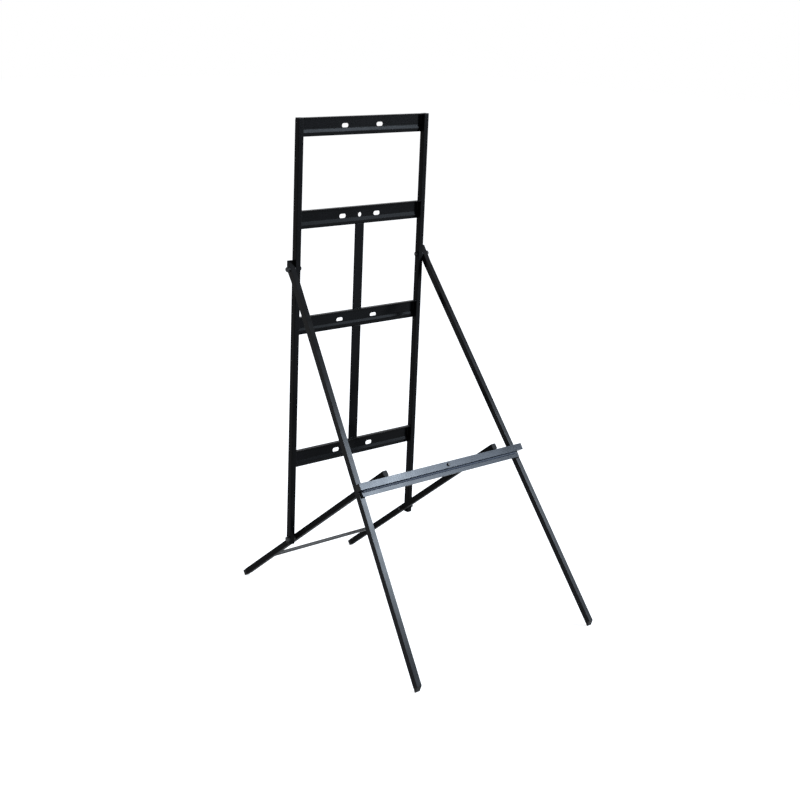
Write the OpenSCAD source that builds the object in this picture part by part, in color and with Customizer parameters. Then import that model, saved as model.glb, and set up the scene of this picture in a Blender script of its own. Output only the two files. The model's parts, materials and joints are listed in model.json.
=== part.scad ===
// Folding roadworks sign frame: an upright frame with slotted rails, two rear struts
// joined by a crossbar, and two foot bars that swing on the posts and rest on the crossbar.
// Origin on the ground under the middle of the stand, X across, Y to the rear, Z up.

/* [Tube] */
// Outer side of the square tube of the posts, struts and foot bars
tube = 25; // [22:0.5:28]
// Wall thickness of that square tube
tube_wall = 2; // [1.5:0.1:3]
// Thickness of the plastic end caps
cap_t = 3; // [2:0.5:5]
// Length of the plastic feet that show beyond the tube ends
tip_length = 18; // [10:1:30]
// How far the caps and feet reach into the tube
plug_length = 16; // [8:1:22]
// Gap around the part of a cap that is inside the tube
plug_gap = 0.3; // [0.2:0.05:0.6]

/* [Upright frame] */
// Width of the upright frame over both posts
frame_width = 715; // [600:1:850]
// Height of the post tops above the foot pivots
post_rise = 1787; // [1600:1:2000]
// Length of the posts below the foot pivots
post_tail = 24; // [22:1:40]

/* [Rails] */
// Height of the web of each rail
rail_height = 78; // [70:1:86]
// Sheet thickness of the rails
rail_t = 3; // [2:0.5:5]
// Depth of the top flange of each rail
rail_flange = 22; // [16:1:25]
// Distance of each rail's stiffening bead below its slots and hole
bead_gap = 0.5; // [0.5:0.5:3]
// Distance of the bead's crest below the middle of the web
bead_crest = 24.5; // [22:0.5:27]
// Depth of the bead behind the web
bead_depth = 4; // [2:0.5:6]
// Height of the second rail's middle above the strut pivots
second_rail_rise = 197; // [120:0.5:300]
// Depth of the third rail's middle below the strut pivots
third_rail_drop = 245.5; // [150:0.5:400]
// Height of the bottom rail's middle above the foot pivots
bottom_rail_z = 352; // [330:0.5:420]
// Length of each sign bolt slot
slot_length = 36; // [28:1:44]
// Height of each sign bolt slot
slot_height = 18; // [12:0.5:19]
// Distance between the two slots of a rail
slot_pitch = 190; // [150:1:260]
// Height of the slots above the middle of the web
slot_lift = 0; // [-0.5:0.5:4]
// Diameter of the round hole in the second rail
hole_d = 19; // [12:0.5:19]
// Width of the flat centre bars
centre_width = 48; // [40:1:60]
// Thickness of the flat centre bars
centre_t = 5; // [4:0.5:8]

/* [Struts] */
// Height of the strut pivots above the foot pivots
strut_pivot = 1177; // [1100:1:1250]
// Lean of the struts from upright when the stand is set up
strut_angle = 34.2; // [31:0.1:37]
// Height of the struts' heads above their pivots
strut_head = 35; // [30:1:38]
// Outward splay of the struts below their bend
strut_splay = 4.36; // [2:0.02:6]
// Distance of that bend below the strut pivots
strut_bend = 45; // [35:1:80]

/* [Foot bars] */
// Slope of the foot bars when the stand is set up
foot_angle = 38.4; // [37.5:0.1:42]
// Length of the foot bars in front of their pivots
foot_front = 452; // [380:1:520]
// Length of foot bar that lies on the crossbar
foot_overlap = 22; // [12:1:40]
// Gap between the foot bars and the crossbar under them
foot_rest_gap = 0.2; // [0.1:0.05:0.4]
// Diameter of the tie rod
rod_d = 16; // [10:0.5:18]
// Distance of the tie rod in front of the foot pivots
rod_reach = 240; // [150:1:330]

/* [Crossbar] */
// Height of the crossbar tube along the struts
cross_height = 28; // [24:0.5:32]
// Depth of the crossbar tube behind its strip
cross_depth = 25; // [20:0.5:30]
// Width of the flat strip that carries the crossbar tube
strip_width = 51; // [46:0.5:60]
// Thickness of that strip
strip_t = 5; // [4:0.5:8]
// Distance from the crossbar tube's top down to the strip's top edge
strip_drop = 1.5; // [1:0.1:4]
// Distance of the strip's left end inside the left strut's outer side
cross_inset = 9; // [0:1:16]
// Length of the crossbar tube beyond the struts' outer sides
cross_overhang = 12; // [2:1:60]
// Sideways place of the crossbar bolt, left of the middle
cross_bolt_x = -22; // [-60:1:60]

/* [Fasteners] */
// Shank diameter of the pivot bolts
bolt_d = 12; // [10:0.5:13]
// Width across flats of the pivot bolt heads and nuts
bolt_flats = 19; // [18.5:0.5:22]
// Thickness of the pivot bolt heads
head_t = 7.5; // [5:0.5:10]
// Thickness of the pivot nuts
nut_t = 7; // [6:0.5:12]
// Length of bolt that shows beyond a nut
bolt_tip = 2; // [1:0.5:8]
// Diameter of the pivot washers
washer_d = 24; // [22.5:0.5:30]
// Thickness of the pivot washers
washer_t = 2.5; // [1.5:0.5:4]
// Length of the spacer bushes between the posts and the foot bars
bush_length = 7.5; // [4:0.5:12]
// Diameter of those spacer bushes
bush_d = 20; // [17:0.5:24]
// Shank diameter of the crossbar bolt
cross_bolt_d = 8; // [6:0.5:10]
// Width across flats of the crossbar bolt head and nut
cross_flats = 13; // [12:0.5:17]
// Thickness of the crossbar bolt head and nut
cross_head_t = 5.5; // [4:0.5:8]
// Radial play of every bolt in its bores
bore_gap = 0.05; // [0.02:0.01:0.1]
// Play between the swinging tubes and the washers beside them
side_play = 0.3; // [0.2:0.05:0.6]

/* [Hidden] */
// Facets of a full circle
round_fn = 64;
// Sides of a bolt head or nut
hex_fn = 6;
// Amount by which a cut runs past the face it opens
cut_over = 1;
// Half of the square tube's side
half = tube / 2;
// Outer and inner side planes of the left post
post_out = frame_width / 2;
post_in = post_out - tube;
// Height of the foot pivots, set by the foot bars' front ends on the ground
pivot_z = foot_front * sin(foot_angle) + half * cos(foot_angle);
// Height of the strut pivots
strut_z = pivot_z + strut_pivot;
// Length of the struts from their pivots to the ground
strut_length = (strut_z - half * sin(strut_angle)) / cos(strut_angle);
// Reach of the foot bars in front of the posts and of the struts behind them
front_reach = foot_front * cos(foot_angle) + half * sin(foot_angle);
rear_reach = strut_length * sin(strut_angle) + half * cos(strut_angle);
// Place of the posts that puts the middle of the stand at the origin
post_y = (front_reach - rear_reach) / 2;
// Length of strut that is drawn above the pivots before the heads are cut
head_reach = 2 * tube / sin(strut_angle);
// Inner side of the left strut beside the post
strut_in = post_out + washer_t + side_play;
// Outer and inner side planes of the left foot bar
bar_out = post_in - bush_length - side_play;
bar_in = bar_out - tube;
// Front and rear planes of the crossbar tube behind the struts' middle plane
cross_front = half + strip_t;
cross_rear = cross_front + cross_depth;
// Angle between the foot bars and the crossbar tube's top wall
rest_angle = foot_angle - strut_angle;
// Play over the corner of the crossbar tube that the foot bars rest on
rest_play = max(-cross_front * sin(rest_angle), -cross_rear * sin(rest_angle));
// Distance of the crossbar tube's top wall below the strut pivots
rest_height = strut_pivot * cos(foot_angle) + half + foot_rest_gap + rest_play;
cross_top = rest_height / cos(rest_angle);
// Length of the foot bars behind their pivots
foot_contact = strut_pivot * sin(foot_angle) - cross_top * sin(rest_angle);
foot_rear = foot_contact + cross_front * cos(rest_angle) + foot_overlap;
// Outer side of the struts at the crossbar's top
cross_strut_out = strut_in + (cross_top - strut_bend) * tan(strut_splay) + tube;
strip_left = cross_strut_out - cross_inset;
cross_end = cross_strut_out + cross_overhang;
// Middle height of the crossbar tube along the struts
cross_mid = cross_top + cross_height / 2;
// Heights of the upper rails' middles above the foot pivots
top_rail_z = post_rise - rail_height / 2;
second_rail_z = strut_pivot + second_rail_rise;
third_rail_z = strut_pivot - third_rail_drop;
// Length of the rails between the posts
rail_length = 2 * post_in;
// Radius of the pivot bolts' bores
bore_r = bolt_d / 2 + bore_gap;
// Radius of the crossbar bolt's bores
cross_bore_r = cross_bolt_d / 2 + bore_gap;
// Finishes
steel_black = [0.10, 0.10, 0.11];
steel_dark = [0.16, 0.16, 0.17];
plastic_black = [0.05, 0.05, 0.05];
zinc_dark = [0.25, 0.25, 0.26];

// Mirror image on the right side of whatever is built for the left side
module to_right() {
    mirror([1, 0, 0])
        children();
}

// The left side and its mirror image
module both_sides() {
    children();
    to_right()
        children();
}

// Frame of the posts: Z from the foot pivots
module at_posts() {
    translate([0, post_y, pivot_z])
        children();
}

// Frame of the struts: origin on the pivot line, the struts run down -Z, Y behind them
module at_struts() {
    translate([0, post_y, strut_z])
        rotate([strut_angle, 0, 0])
            children();
}

// Frame of the foot bars: origin on the pivot line, the bars run along Y
module at_bars() {
    translate([0, post_y, pivot_z])
        rotate([foot_angle, 0, 0])
            children();
}

// Round bar along X
module x_round(x0, x1, r) {
    translate([x0, 0, 0])
        rotate([0, 90, 0])
            cylinder(h = x1 - x0, r = r, $fn = round_fn);
}

// Hexagon along X, given across flats
module x_hex(x0, x1, flats) {
    translate([x0, 0, 0])
        rotate([0, 90, 0])
            linear_extrude(height = x1 - x0)
                circle(d = flats / cos(180 / hex_fn), $fn = hex_fn);
}

// Round bar along Y
module y_round(y0, y1, r) {
    translate([0, y0, 0])
        rotate([-90, 0, 0])
            cylinder(h = y1 - y0, r = r, $fn = round_fn);
}

// Hexagon along Y, given across flats
module y_hex(y0, y1, flats) {
    translate([0, y0, 0])
        rotate([-90, 0, 0])
            linear_extrude(height = y1 - y0)
                circle(d = flats / cos(180 / hex_fn), $fn = hex_fn);
}

// Block from one corner to the other
module block(a, b) {
    translate(a)
        cube(b - a);
}

// Part of a washer or bush round a pivot bolt
module ring(x0, x1, d) {
    difference() {
        x_round(x0, x1, d / 2);
        x_round(x0 - cut_over, x1 + cut_over, bore_r);
    }
}

// Nut round a pivot bolt
module nut(x0, x1) {
    difference() {
        x_hex(x0, x1, bolt_flats);
        x_round(x0 - cut_over, x1 + cut_over, bore_r);
    }
}

// Upright frame

module left_post_shape() {
    inner = half - tube_wall;
    middle = post_in + half;
    difference() {
        block([post_in, -half, cap_t - post_tail], [post_out, half, post_rise - cap_t]);
        block(
            [middle - inner, -inner, cap_t - post_tail - cut_over],
            [middle + inner, inner, post_rise - cap_t + cut_over]
        );
        x_round(post_in - cut_over, post_out + cut_over, bore_r);
        translate([0, 0, strut_pivot])
            x_round(post_in - cut_over, post_out + cut_over, bore_r);
    }
}

module left_post() {
    color(steel_black)
        at_posts()
            left_post_shape();
}

module right_post() {
    color(steel_black)
        at_posts()
            to_right()
                left_post_shape();
}

// Cap with its plug along Z: the cap lies between z0 and z1, the plug reaches to z2
module post_cap(z0, z1, z2) {
    inner = half - tube_wall - plug_gap;
    middle = post_in + half;
    block([post_in, -half, min(z0, z1)], [post_out, half, max(z0, z1)]);
    block([middle - inner, -inner, min(z1, z2)], [middle + inner, inner, max(z1, z2)]);
}

module post_top_caps() {
    color(plastic_black)
        at_posts()
            both_sides()
                post_cap(post_rise, post_rise - cap_t, post_rise - cap_t - plug_length);
}

module post_bottom_caps() {
    color(plastic_black)
        at_posts()
            both_sides()
                post_cap(-post_tail, cap_t - post_tail, cap_t - post_tail + tube_wall);
}

// Pressed section of a rail along X, its web in the posts' front plane above a stiffening bead
module rail_section() {
    high = rail_height / 2;
    bead_top = slot_lift - max(slot_height, hole_d) / 2 - bead_gap;
    rotate([90, 0, 90])
        linear_extrude(height = rail_length, center = true)
            polygon([
                [-half, high],
                [rail_flange - half, high],
                [rail_flange - half, high - rail_t],
                [rail_t - half, high - rail_t],
                [rail_t - half, bead_top],
                [rail_t + bead_depth - half, -bead_crest],
                [rail_t - half, -high],
                [-half, -high],
                [bead_depth - half, -bead_crest],
                [-half, bead_top]
            ]);
}

// Cutter of one sign bolt slot through the web
module slot_cut() {
    y0 = -half - cut_over;
    y1 = rail_t - half + cut_over;
    run = (slot_length - slot_height) / 2;
    block([-run, y0, -slot_height / 2], [run, y1, slot_height / 2]);
    for (side = [-1, 1])
        translate([side * run, 0, 0])
            y_round(y0, y1, slot_height / 2);
}

module slotted_rail() {
    difference() {
        rail_section();
        for (side = [-1, 1])
            translate([side * slot_pitch / 2, 0, slot_lift])
                slot_cut();
    }
}

module rail_at(z) {
    color(steel_black)
        at_posts()
            translate([0, 0, z])
                slotted_rail();
}

module top_rail() {
    rail_at(top_rail_z);
}

module second_rail() {
    color(steel_black)
        at_posts()
            translate([0, 0, second_rail_z])
                difference() {
                    slotted_rail();
                    translate([0, 0, slot_lift])
                        y_round(-half - cut_over, rail_t - half + cut_over, hole_d / 2);
                }
}

module third_rail() {
    rail_at(third_rail_z);
}

module bottom_rail() {
    rail_at(bottom_rail_z);
}

// Flat centre bar from the top of the lower rail to the underside of the upper rail
module centre_bar(lower, upper) {
    color(steel_black)
        at_posts()
            block(
                [-centre_width / 2, -half, lower + rail_height / 2],
                [centre_width / 2, centre_t - half, upper - rail_height / 2]
            );
}

module upper_centre_bar() {
    centre_bar(third_rail_z, second_rail_z);
}

module lower_centre_bar() {
    centre_bar(bottom_rail_z, third_rail_z);
}

// Fasteners of the strut pivots

module at_strut_pivots() {
    translate([0, post_y, strut_z])
        both_sides()
            children();
}

module strut_pivot_bolts() {
    seat = strut_in + tube + side_play + washer_t;
    color(zinc_dark)
        at_strut_pivots() {
            x_round(post_in - nut_t - bolt_tip, seat, bolt_d / 2);
            x_hex(seat, seat + head_t, bolt_flats);
        }
}

module strut_pivot_spacers() {
    color(zinc_dark)
        at_strut_pivots()
            ring(post_out, post_out + washer_t, washer_d);
}

module strut_pivot_washers() {
    seat = strut_in + tube + side_play;
    color(zinc_dark)
        at_strut_pivots()
            ring(seat, seat + washer_t, washer_d);
}

module strut_pivot_nuts() {
    color(zinc_dark)
        at_strut_pivots()
            nut(post_in - nut_t, post_in);
}

// Fasteners of the foot pivots

module at_foot_pivots() {
    at_posts()
        both_sides()
            children();
}

module foot_pivot_bolts() {
    seat = post_out + washer_t;
    end = bar_in - side_play - washer_t - nut_t - bolt_tip;
    color(zinc_dark)
        at_foot_pivots() {
            x_round(end, seat, bolt_d / 2);
            x_hex(seat, seat + head_t, bolt_flats);
        }
}

module foot_pivot_bushes() {
    color(zinc_dark)
        at_foot_pivots()
            ring(post_in - bush_length, post_in, bush_d);
}

module foot_pivot_washers() {
    seat = bar_in - side_play;
    color(zinc_dark)
        at_foot_pivots() {
            ring(post_out, post_out + washer_t, washer_d);
            ring(seat - washer_t, seat, washer_d);
        }
}

module foot_pivot_nuts() {
    seat = bar_in - side_play - washer_t;
    color(zinc_dark)
        at_foot_pivots()
            nut(seat - nut_t, seat);
}

// Rear struts

// Sideways run of the struts at a distance below their pivots
function splay_at(below) = max(0, below - strut_bend) * tan(strut_splay);

// Length of the left strut between two distances below its pivot, drawn in from its sides
module strut_run(from, to, inset, depth) {
    bend = max(from, min(to, strut_bend));
    a = strut_in + inset;
    b = strut_in + tube - inset;
    rotate([90, 0, 0])
        linear_extrude(height = depth, center = true)
            polygon([
                [a + splay_at(from), -from],
                [b + splay_at(from), -from],
                [b + splay_at(bend), -bend],
                [b + splay_at(to), -to],
                [a + splay_at(to), -to],
                [a + splay_at(bend), -bend]
            ]);
}

// Block round the left strut's head, square to the posts
module head_block(y0, y1, z0, z1) {
    rotate([-strut_angle, 0, 0])
        block([strut_in - cut_over, y0, z0], [strut_in + tube + cut_over, y1, z1]);
}

// The head is cut so that it stays behind the front plane of the posts, where the sign goes
module left_strut_shape() {
    bottom = strut_length - tip_length;
    difference() {
        strut_run(-head_reach, bottom, 0, tube);
        strut_run(-head_reach - cut_over, bottom + cut_over, tube_wall, tube - 2 * tube_wall);
        x_round(strut_in - cut_over, strut_in + tube + cut_over, bore_r);
        head_block(-2 * head_reach, cap_t - half, -head_reach, 2 * head_reach);
        head_block(-2 * head_reach, head_reach, strut_head, 2 * head_reach);
    }
}

module left_strut() {
    color(steel_black)
        at_struts()
            left_strut_shape();
}

module right_strut() {
    color(steel_black)
        at_struts()
            to_right()
                left_strut_shape();
}

// Cap on the cut face of each strut's head, with a plug that stops short of the pivot bolt
module strut_top_caps() {
    seat = cap_t - half;
    color(plastic_black)
        at_struts()
            both_sides() {
                intersection() {
                    strut_run_straight(-head_reach, head_reach, 0);
                    head_block(-half, seat, -tube, strut_head);
                }
                intersection() {
                    strut_run_straight(-head_reach, head_reach, tube_wall + plug_gap);
                    head_block(seat, -bore_r - plug_gap, -tube, strut_head);
                }
            }
}

// Straight block of the left strut's head between two distances below its pivot
module strut_run_straight(from, to, inset) {
    block(
        [strut_in + inset, inset - half, -to],
        [strut_in + tube - inset, half - inset, -from]
    );
}

// Foot on the ground end of the left strut, with its plug in the tube
module left_strut_foot_shape() {
    seat = strut_length - tip_length;
    inset = tube_wall + plug_gap;
    strut_run(seat, strut_length, 0, tube);
    strut_run(seat - plug_length, seat, inset, tube - 2 * inset);
}

module left_strut_foot() {
    color(plastic_black)
        at_struts()
            left_strut_foot_shape();
}

module right_strut_foot() {
    color(plastic_black)
        at_struts()
            to_right()
                left_strut_foot_shape();
}

// Crossbar

module crossbar_tube() {
    end = cross_end - cap_t;
    wall = tube_wall;
    color(steel_dark)
        at_struts()
            difference() {
                block(
                    [-end, cross_front, -cross_top - cross_height],
                    [end, cross_rear, -cross_top]
                );
                block(
                    [-end - cut_over, cross_front + wall, wall - cross_top - cross_height],
                    [end + cut_over, cross_rear - wall, -cross_top - wall]
                );
                translate([cross_bolt_x, 0, -cross_mid])
                    y_round(cross_front - cut_over, cross_rear + cut_over, cross_bore_r);
            }
}

module crossbar_strip() {
    top = cross_top + strip_drop;
    color(steel_dark)
        at_struts()
            difference() {
                block(
                    [-cross_strut_out, half, -top - strip_width],
                    [strip_left, cross_front, -top]
                );
                translate([cross_bolt_x, 0, -cross_mid])
                    y_round(half - cut_over, cross_front + cut_over, cross_bore_r);
            }
}

module crossbar_end_caps() {
    edge = tube_wall + plug_gap;
    low = -cross_top - cross_height;
    color(plastic_black)
        at_struts()
            both_sides() {
                block([cross_end - cap_t, cross_front, low], [cross_end, cross_rear, -cross_top]);
                block(
                    [cross_end - cap_t - plug_length, cross_front + edge, low + edge],
                    [cross_end - cap_t, cross_rear - edge, -cross_top - edge]
                );
            }
}

module crossbar_bolt() {
    color(zinc_dark)
        at_struts()
            translate([cross_bolt_x, 0, -cross_mid]) {
                y_round(half - cross_head_t - bolt_tip, cross_rear, cross_bolt_d / 2);
                y_hex(cross_rear, cross_rear + cross_head_t, cross_flats);
            }
}

module crossbar_nut() {
    color(zinc_dark)
        at_struts()
            translate([cross_bolt_x, 0, -cross_mid])
                difference() {
                    y_hex(half - cross_head_t, half, cross_flats);
                    y_round(half - cross_head_t - cut_over, half + cut_over, cross_bore_r);
                }
}

// Foot bars

module left_foot_bar_shape() {
    front = tip_length - foot_front;
    rear = foot_rear - cap_t;
    inner = half - tube_wall;
    middle = bar_in + half;
    difference() {
        block([bar_in, front, -half], [bar_out, rear, half]);
        block(
            [middle - inner, front - cut_over, -inner],
            [middle + inner, rear + cut_over, inner]
        );
        x_round(bar_in - cut_over, bar_out + cut_over, bore_r);
    }
}

module left_foot_bar() {
    color(steel_black)
        at_bars()
            left_foot_bar_shape();
}

module right_foot_bar() {
    color(steel_black)
        at_bars()
            to_right()
                left_foot_bar_shape();
}

module foot_tie_rod() {
    color(steel_dark)
        at_bars()
            translate([0, -rod_reach, 0])
                x_round(-bar_in, bar_in, rod_d / 2);
}

// Foot on the front end of the left foot bar, with its plug in the tube
module left_bar_foot_shape() {
    inner = half - tube_wall - plug_gap;
    middle = bar_in + half;
    seat = tip_length - foot_front;
    block([bar_in, -foot_front, -half], [bar_out, seat, half]);
    block([middle - inner, seat, -inner], [middle + inner, seat + plug_length, inner]);
}

module left_bar_foot() {
    color(plastic_black)
        at_bars()
            left_bar_foot_shape();
}

module right_bar_foot() {
    color(plastic_black)
        at_bars()
            to_right()
                left_bar_foot_shape();
}

module bar_rear_caps() {
    inner = half - tube_wall - plug_gap;
    middle = bar_in + half;
    seat = foot_rear - cap_t;
    color(plastic_black)
        at_bars()
            both_sides() {
                block([bar_in, seat, -half], [bar_out, foot_rear, half]);
                block([middle - inner, seat - plug_length, -inner], [middle + inner, seat, inner]);
            }
}

left_post();
right_post();
top_rail();
second_rail();
third_rail();
bottom_rail();
upper_centre_bar();
lower_centre_bar();
post_top_caps();
post_bottom_caps();
strut_pivot_bolts();
strut_pivot_spacers();
strut_pivot_washers();
strut_pivot_nuts();
foot_pivot_bolts();
foot_pivot_bushes();
foot_pivot_washers();
foot_pivot_nuts();
left_strut();
right_strut();
strut_top_caps();
left_strut_foot();
right_strut_foot();
crossbar_tube();
crossbar_strip();
crossbar_end_caps();
crossbar_bolt();
crossbar_nut();
left_foot_bar();
right_foot_bar();
foot_tie_rod();
left_bar_foot();
right_bar_foot();
bar_rear_caps();
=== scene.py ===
# %% [markdown]
# # A folding roadworks sign frame
# The stand is welded from square steel tube and pressed steel rails, and painted black. Two rear struts and
# two foot bars swing on bolts through the posts. The CAD solids already have every size and place, so this
# lesson rounds their edges, adds the welds and the real fasteners, and paints them. The first cell loads the
# solids and hangs each on the body that it moves with.

# %% Load the fixed frame
import json
import math

import bmesh
import bpy
from mathutils import Matrix, Vector, noise

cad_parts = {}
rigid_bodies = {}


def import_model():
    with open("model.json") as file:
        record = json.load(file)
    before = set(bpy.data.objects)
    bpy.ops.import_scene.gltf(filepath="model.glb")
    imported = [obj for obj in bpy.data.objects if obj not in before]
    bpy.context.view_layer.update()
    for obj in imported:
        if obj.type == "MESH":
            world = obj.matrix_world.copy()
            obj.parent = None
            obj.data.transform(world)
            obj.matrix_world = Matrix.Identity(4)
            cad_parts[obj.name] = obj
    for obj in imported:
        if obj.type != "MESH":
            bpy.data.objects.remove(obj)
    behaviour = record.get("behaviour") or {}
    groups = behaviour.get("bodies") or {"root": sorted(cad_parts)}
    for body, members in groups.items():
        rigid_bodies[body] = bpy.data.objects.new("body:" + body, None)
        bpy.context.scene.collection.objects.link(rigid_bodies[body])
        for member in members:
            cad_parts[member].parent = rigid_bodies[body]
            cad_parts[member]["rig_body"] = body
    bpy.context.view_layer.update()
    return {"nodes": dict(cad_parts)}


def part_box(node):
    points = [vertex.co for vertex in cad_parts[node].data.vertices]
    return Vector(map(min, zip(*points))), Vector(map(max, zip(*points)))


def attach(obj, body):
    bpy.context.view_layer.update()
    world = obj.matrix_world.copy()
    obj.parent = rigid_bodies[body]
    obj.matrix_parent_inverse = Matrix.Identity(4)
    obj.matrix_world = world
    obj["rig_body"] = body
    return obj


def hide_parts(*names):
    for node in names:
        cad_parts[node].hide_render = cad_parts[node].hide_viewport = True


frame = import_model()
MM = 0.001

# %% [markdown]
# ## The camera
# The photograph was measured first: a perspective camera was fitted to the straight edges of the tubes.
# It stands behind the frame, to its left, a little above it, and is rolled by about two degrees. A
# look-at constraint could not give that roll, so the camera's three axes are written out instead.

# %% Camera
PHOTO_SIDE = 800
FOCAL_PIXELS = 1487.8
SENSOR = 36.0
CAMERA_PLACE = Vector((4.1376, 4.3643, 2.5949))
YAW, PITCH, ROLL = math.radians(43.237), math.radians(15.505), math.radians(2.356)
UP = Vector((0, 0, 1))


def show(obj):
    bpy.context.scene.collection.objects.link(obj)
    return obj


lens = bpy.data.cameras.new("photo_camera")
lens.sensor_width = SENSOR
lens.lens = SENSOR * FOCAL_PIXELS / PHOTO_SIDE
lens.dof.use_dof = False
camera = show(bpy.data.objects.new("photo_camera", lens))
bpy.context.scene.camera = camera

ahead = Vector((-math.sin(YAW) * math.cos(PITCH), -math.cos(YAW) * math.cos(PITCH), -math.sin(PITCH)))
level = ahead.cross(UP).normalized()
upward = level.cross(ahead)
across = level * math.cos(ROLL) + upward * math.sin(ROLL)
rise = upward * math.cos(ROLL) - level * math.sin(ROLL)
turn = Matrix((across, rise, -ahead)).transposed()
camera.matrix_world = Matrix.Translation(CAMERA_PLACE) @ turn.to_4x4()
print("Camera lens in mm:", round(lens.lens, 2))

# %% [markdown]
# ## Small helpers for shader nodes
# Every finish here is procedural. A node tree is a list of nodes and links, so a few short helpers keep the
# recipes readable: they add a node and set its values, join two sockets, and stand for the sums, ranges,
# noises and colour mixes that come up again and again.


# %% Node helpers
def add_node(tree, kind, values=None, **settings):
    node = tree.nodes.new(kind)
    for name, value in settings.items():
        setattr(node, name, value)
    for name, value in (values or {}).items():
        node.inputs[name].default_value = value
    return node


def join(tree, source, target):
    tree.links.new(source, target)


def add_math(tree, operation, first, second):
    node = add_node(tree, "ShaderNodeMath", operation=operation)
    for socket, value in zip(node.inputs, (first, second)):
        if isinstance(value, (int, float)):
            socket.default_value = value
        else:
            join(tree, value, socket)
    return node.outputs[0]


def add_range(tree, value, low, high, to_low=0.0, to_high=1.0):
    node = add_node(tree, "ShaderNodeMapRange", {1: low, 2: high, 3: to_low, 4: to_high})
    join(tree, value, node.inputs[0])
    return node.outputs[0]


def add_noise(tree, vector, scale, detail, roughness=0.5):
    values = {"Scale": scale, "Detail": detail, "Roughness": roughness}
    node = add_node(tree, "ShaderNodeTexNoise", values)
    join(tree, vector, node.inputs["Vector"])
    return node.outputs["Fac"]


def add_mix(tree, share, first, second):
    node = add_node(tree, "ShaderNodeMix", data_type="RGBA")
    colours = [s for s in node.inputs if s.type == "RGBA"]
    for socket, value in zip(colours, (first, second)):
        if isinstance(value, tuple):
            socket.default_value = (*value, 1.0)
        else:
            join(tree, value, socket)
    join(tree, share, node.inputs[0])
    return [s for s in node.outputs if s.type == "RGBA"][0]


print("Node helpers: node, join, math, range, noise, mix")

# %% [markdown]
# ## Dust, scratches and rubbed edges
# Paint, plastic and plated bolts all carry the same kinds of marks: a little dust on what faces up,
# hairline scratches from stacking, and a thin rub along the edges. Each is a mask between 0 and 1. The rub
# reads an attribute that the modelling cells write on the rounded edge faces, so it stays in place however
# the camera moves.

# %% Masks
UPWARD, THIN_LAYER = (0.25, 0.95), 0.35
DRIFT_SCALE, DRIFTS = 32.0, (0.38, 0.7)
SPECK_SCALE, SPECKS, SPECK_SHARE = 1500.0, (0.6, 0.72), 0.35
HAIRLINE_RUNS, HAIRLINES = ((900.0, 900.0, 9.0), (9.0, 900.0, 900.0)), (0.66, 0.74)
PATCH_SCALE, PATCHES = 11.0, (0.48, 0.66)
RUB_SCALE, RUBBED_SPOTS = 160.0, (0.56, 0.64)


def add_dust(tree, place, amount):
    facing = add_node(tree, "ShaderNodeSeparateXYZ")
    join(tree, place["Normal"], facing.inputs[0])
    upper = add_range(tree, facing.outputs["Z"], *UPWARD)
    drift = add_range(tree, add_noise(tree, place["Object"], DRIFT_SCALE, 6.0, 0.65), *DRIFTS)
    settled = add_math(tree, "MULTIPLY", upper, add_math(tree, "ADD", THIN_LAYER, drift))
    specks = add_range(tree, add_noise(tree, place["Object"], SPECK_SCALE, 2.0), *SPECKS)
    everywhere = add_math(tree, "MULTIPLY", specks, SPECK_SHARE)
    return add_math(tree, "MULTIPLY", add_math(tree, "ADD", settled, everywhere), amount)


def add_scratches(tree, place, amount):
    hairlines = []
    for stretch in HAIRLINE_RUNS:
        run = add_node(tree, "ShaderNodeMapping", {"Scale": stretch})
        join(tree, place["Object"], run.inputs["Vector"])
        hairlines.append(add_range(tree, add_noise(tree, run.outputs[0], 1.0, 2.0), *HAIRLINES))
    patchy = add_range(tree, add_noise(tree, place["Object"], PATCH_SCALE, 3.0), *PATCHES)
    lines = add_math(tree, "MULTIPLY", add_math(tree, "MAXIMUM", *hairlines), patchy)
    return add_math(tree, "MULTIPLY", lines, amount)


def add_rub(tree, place, amount):
    edge = add_node(tree, "ShaderNodeAttribute", attribute_name="rounded_edge")
    broken = add_range(tree, add_noise(tree, place["Object"], RUB_SCALE, 5.0, 0.7), *RUBBED_SPOTS)
    return add_math(tree, "MULTIPLY", add_math(tree, "MULTIPLY", edge.outputs["Fac"], broken), amount)


print("Masks: dust, scratches, rubbed edges")

# %% [markdown]
# ## One group for all surface marks
# The masks go into one node group, together with a slow cloud that varies colour and gloss and the fine
# orange-peel relief that spraying leaves. The group has named inputs, so each finish places it with its own
# amounts, and a change here reaches all of them.

# %% Group of surface marks
MARK_INPUTS = (("Peel Scale", 400.0), ("Dust", 0.3), ("Scratches", 0.3), ("Edge Rub", 0.3))
MARK_OUTPUTS = ("Cloud", "Dust Mask", "Scratch Mask", "Rub Mask", "Height")
CLOUD_SCALE, GROOVE_DEPTH = 7.0, -0.35


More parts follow.
